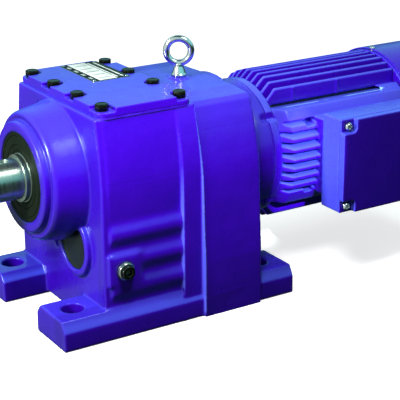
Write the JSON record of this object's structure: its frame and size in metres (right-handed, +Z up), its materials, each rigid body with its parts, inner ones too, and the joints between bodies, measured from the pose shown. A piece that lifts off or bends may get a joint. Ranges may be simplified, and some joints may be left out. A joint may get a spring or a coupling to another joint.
{
  "type": "inline helical gear reducer with motor",
  "caption": "Foot-mounted inline helical gear reducer driven by a finned flange motor, with a keyway in its output shaft, bolted top cover, lifting eye and terminal box.",
  "frame": {"origin": "centre of the four holding-down holes on the base plane", "axes": "+X along the shafts towards the motor's fan cowl, so the output shaft points along -X; -Y is the side with the oil level plug and the terminal box; +Z up"},
  "size_m": [0.711, 0.2905, 0.325],
  "materials": {
    "blue_paint": "gloss enamel over cast iron",
    "black_oxide_steel": "black oxide, oiled",
    "zinc_plate": "bright zinc plate",
    "plate_aluminium": "printed thin sheet, no text",
    "seal_rubber": "moulded nitrile",
    "brass": "turned",
    "ground_steel": "turned and ground",
    "bearing_steel": "ground, lightly oiled",
    "lamination_steel": "stacked sheet",
    "enamelled_wire": "varnished copper wire",
    "moulded_plastic": "moulded"
  },
  "bodies": {
    "frame": {"gear_housing": "blue_paint", "inspection_cover": "blue_paint", "cover_gasket": "seal_rubber", "cover_bolts": "black_oxide_steel", "nameplate": "plate_aluminium", "nameplate_rivets": "zinc_plate", "lifting_eye_bolt": "zinc_plate", "oil_level_plug": "black_oxide_steel", "oil_drain_plug": "black_oxide_steel", "breather_valve": "brass", "plug_sealing_rings": "seal_rubber", "closing_cap": "seal_rubber", "output_oil_seal": "seal_rubber", "output_front_bearing_outer": "bearing_steel", "output_rear_bearing_outer": "bearing_steel", "intermediate_front_bearing_outer": "bearing_steel", "intermediate_rear_bearing_outer": "bearing_steel", "motor_flange": "blue_paint", "flange_bolts": "black_oxide_steel", "input_oil_seal": "seal_rubber", "motor_front_bearing_outer": "bearing_steel", "motor_rear_bearing_outer": "bearing_steel", "stator_frame": "blue_paint", "stator_core": "lamination_steel", "stator_windings": "enamelled_wire", "rear_end_shield": "blue_paint", "end_shield_screws": "black_oxide_steel", "fan_cowl": "blue_paint", "cowl_screws": "zinc_plate", "terminal_box": "blue_paint", "terminal_box_lid": "blue_paint", "lid_screws": "zinc_plate", "terminal_board": "moulded_plastic", "terminal_studs": "brass", "cable_gland": "moulded_plastic"},
    "output": {"output_shaft": "ground_steel", "output_wheel": "ground_steel", "output_wheel_key": "ground_steel", "output_circlip": "black_oxide_steel", "output_front_bearing_inner": "bearing_steel", "output_rear_bearing_inner": "bearing_steel"},
    "intermediate": {"intermediate_pinion_shaft": "ground_steel", "intermediate_wheel": "ground_steel", "intermediate_wheel_key": "ground_steel", "intermediate_circlip": "black_oxide_steel", "intermediate_front_bearing_inner": "bearing_steel", "intermediate_rear_bearing_inner": "bearing_steel"},
    "rotor": {"rotor_shaft": "ground_steel", "motor_pinion": "ground_steel", "rotor_core": "lamination_steel", "motor_front_bearing_inner": "bearing_steel", "motor_rear_bearing_inner": "bearing_steel", "cooling_fan": "moulded_plastic"},
    "output_front_balls": {"output_front_ball_set": "bearing_steel"},
    "output_rear_balls": {"output_rear_ball_set": "bearing_steel"},
    "intermediate_front_balls": {"intermediate_front_ball_set": "bearing_steel"},
    "intermediate_rear_balls": {"intermediate_rear_ball_set": "bearing_steel"},
    "motor_front_balls": {"motor_front_ball_set": "bearing_steel"},
    "motor_rear_balls": {"motor_rear_ball_set": "bearing_steel"}
  },
  "joints": [
    {"name": "motor_spin", "type": "hinge", "parent": "frame", "child": "rotor", "pos_m": [0, 0, 0.166], "axis": [1, 0, 0], "continuous": true},
    {"name": "intermediate_spin", "type": "hinge", "parent": "frame", "child": "intermediate", "pos_m": [0, -0.04415, 0.09929], "axis": [1, 0, 0], "continuous": true},
    {"name": "output_spin", "type": "hinge", "parent": "frame", "child": "output", "pos_m": [0, 0, 0.18], "axis": [1, 0, 0], "continuous": true},
    {"name": "output_front_balls_roll", "type": "hinge", "parent": "frame", "child": "output_front_balls", "pos_m": [0, 0, 0.18], "axis": [1, 0, 0], "continuous": true},
    {"name": "output_rear_balls_roll", "type": "hinge", "parent": "frame", "child": "output_rear_balls", "pos_m": [0, 0, 0.18], "axis": [1, 0, 0], "continuous": true},
    {"name": "intermediate_front_balls_roll", "type": "hinge", "parent": "frame", "child": "intermediate_front_balls", "pos_m": [0, -0.04415, 0.09929], "axis": [1, 0, 0], "continuous": true},
    {"name": "intermediate_rear_balls_roll", "type": "hinge", "parent": "frame", "child": "intermediate_rear_balls", "pos_m": [0, -0.04415, 0.09929], "axis": [1, 0, 0], "continuous": true},
    {"name": "motor_front_balls_roll", "type": "hinge", "parent": "frame", "child": "motor_front_balls", "pos_m": [0, 0, 0.166], "axis": [1, 0, 0], "continuous": true},
    {"name": "motor_rear_balls_roll", "type": "hinge", "parent": "frame", "child": "motor_rear_balls", "pos_m": [0, 0, 0.166], "axis": [1, 0, 0], "continuous": true}
  ],
  "couplings": [
    {"joint": "intermediate_spin", "follows": "motor_spin", "ratio": -0.27778},
    {"joint": "output_spin", "follows": "motor_spin", "ratio": 0.076253},
    {"joint": "output_front_balls_roll", "follows": "motor_spin", "ratio": 0.031398},
    {"joint": "output_rear_balls_roll", "follows": "motor_spin", "ratio": 0.03159},
    {"joint": "intermediate_front_balls_roll", "follows": "motor_spin", "ratio": -0.10345},
    {"joint": "intermediate_rear_balls_roll", "follows": "motor_spin", "ratio": -0.10458},
    {"joint": "motor_front_balls_roll", "follows": "motor_spin", "ratio": 0.4},
    {"joint": "motor_rear_balls_roll", "follows": "motor_spin", "ratio": 0.39565}
  ]
}
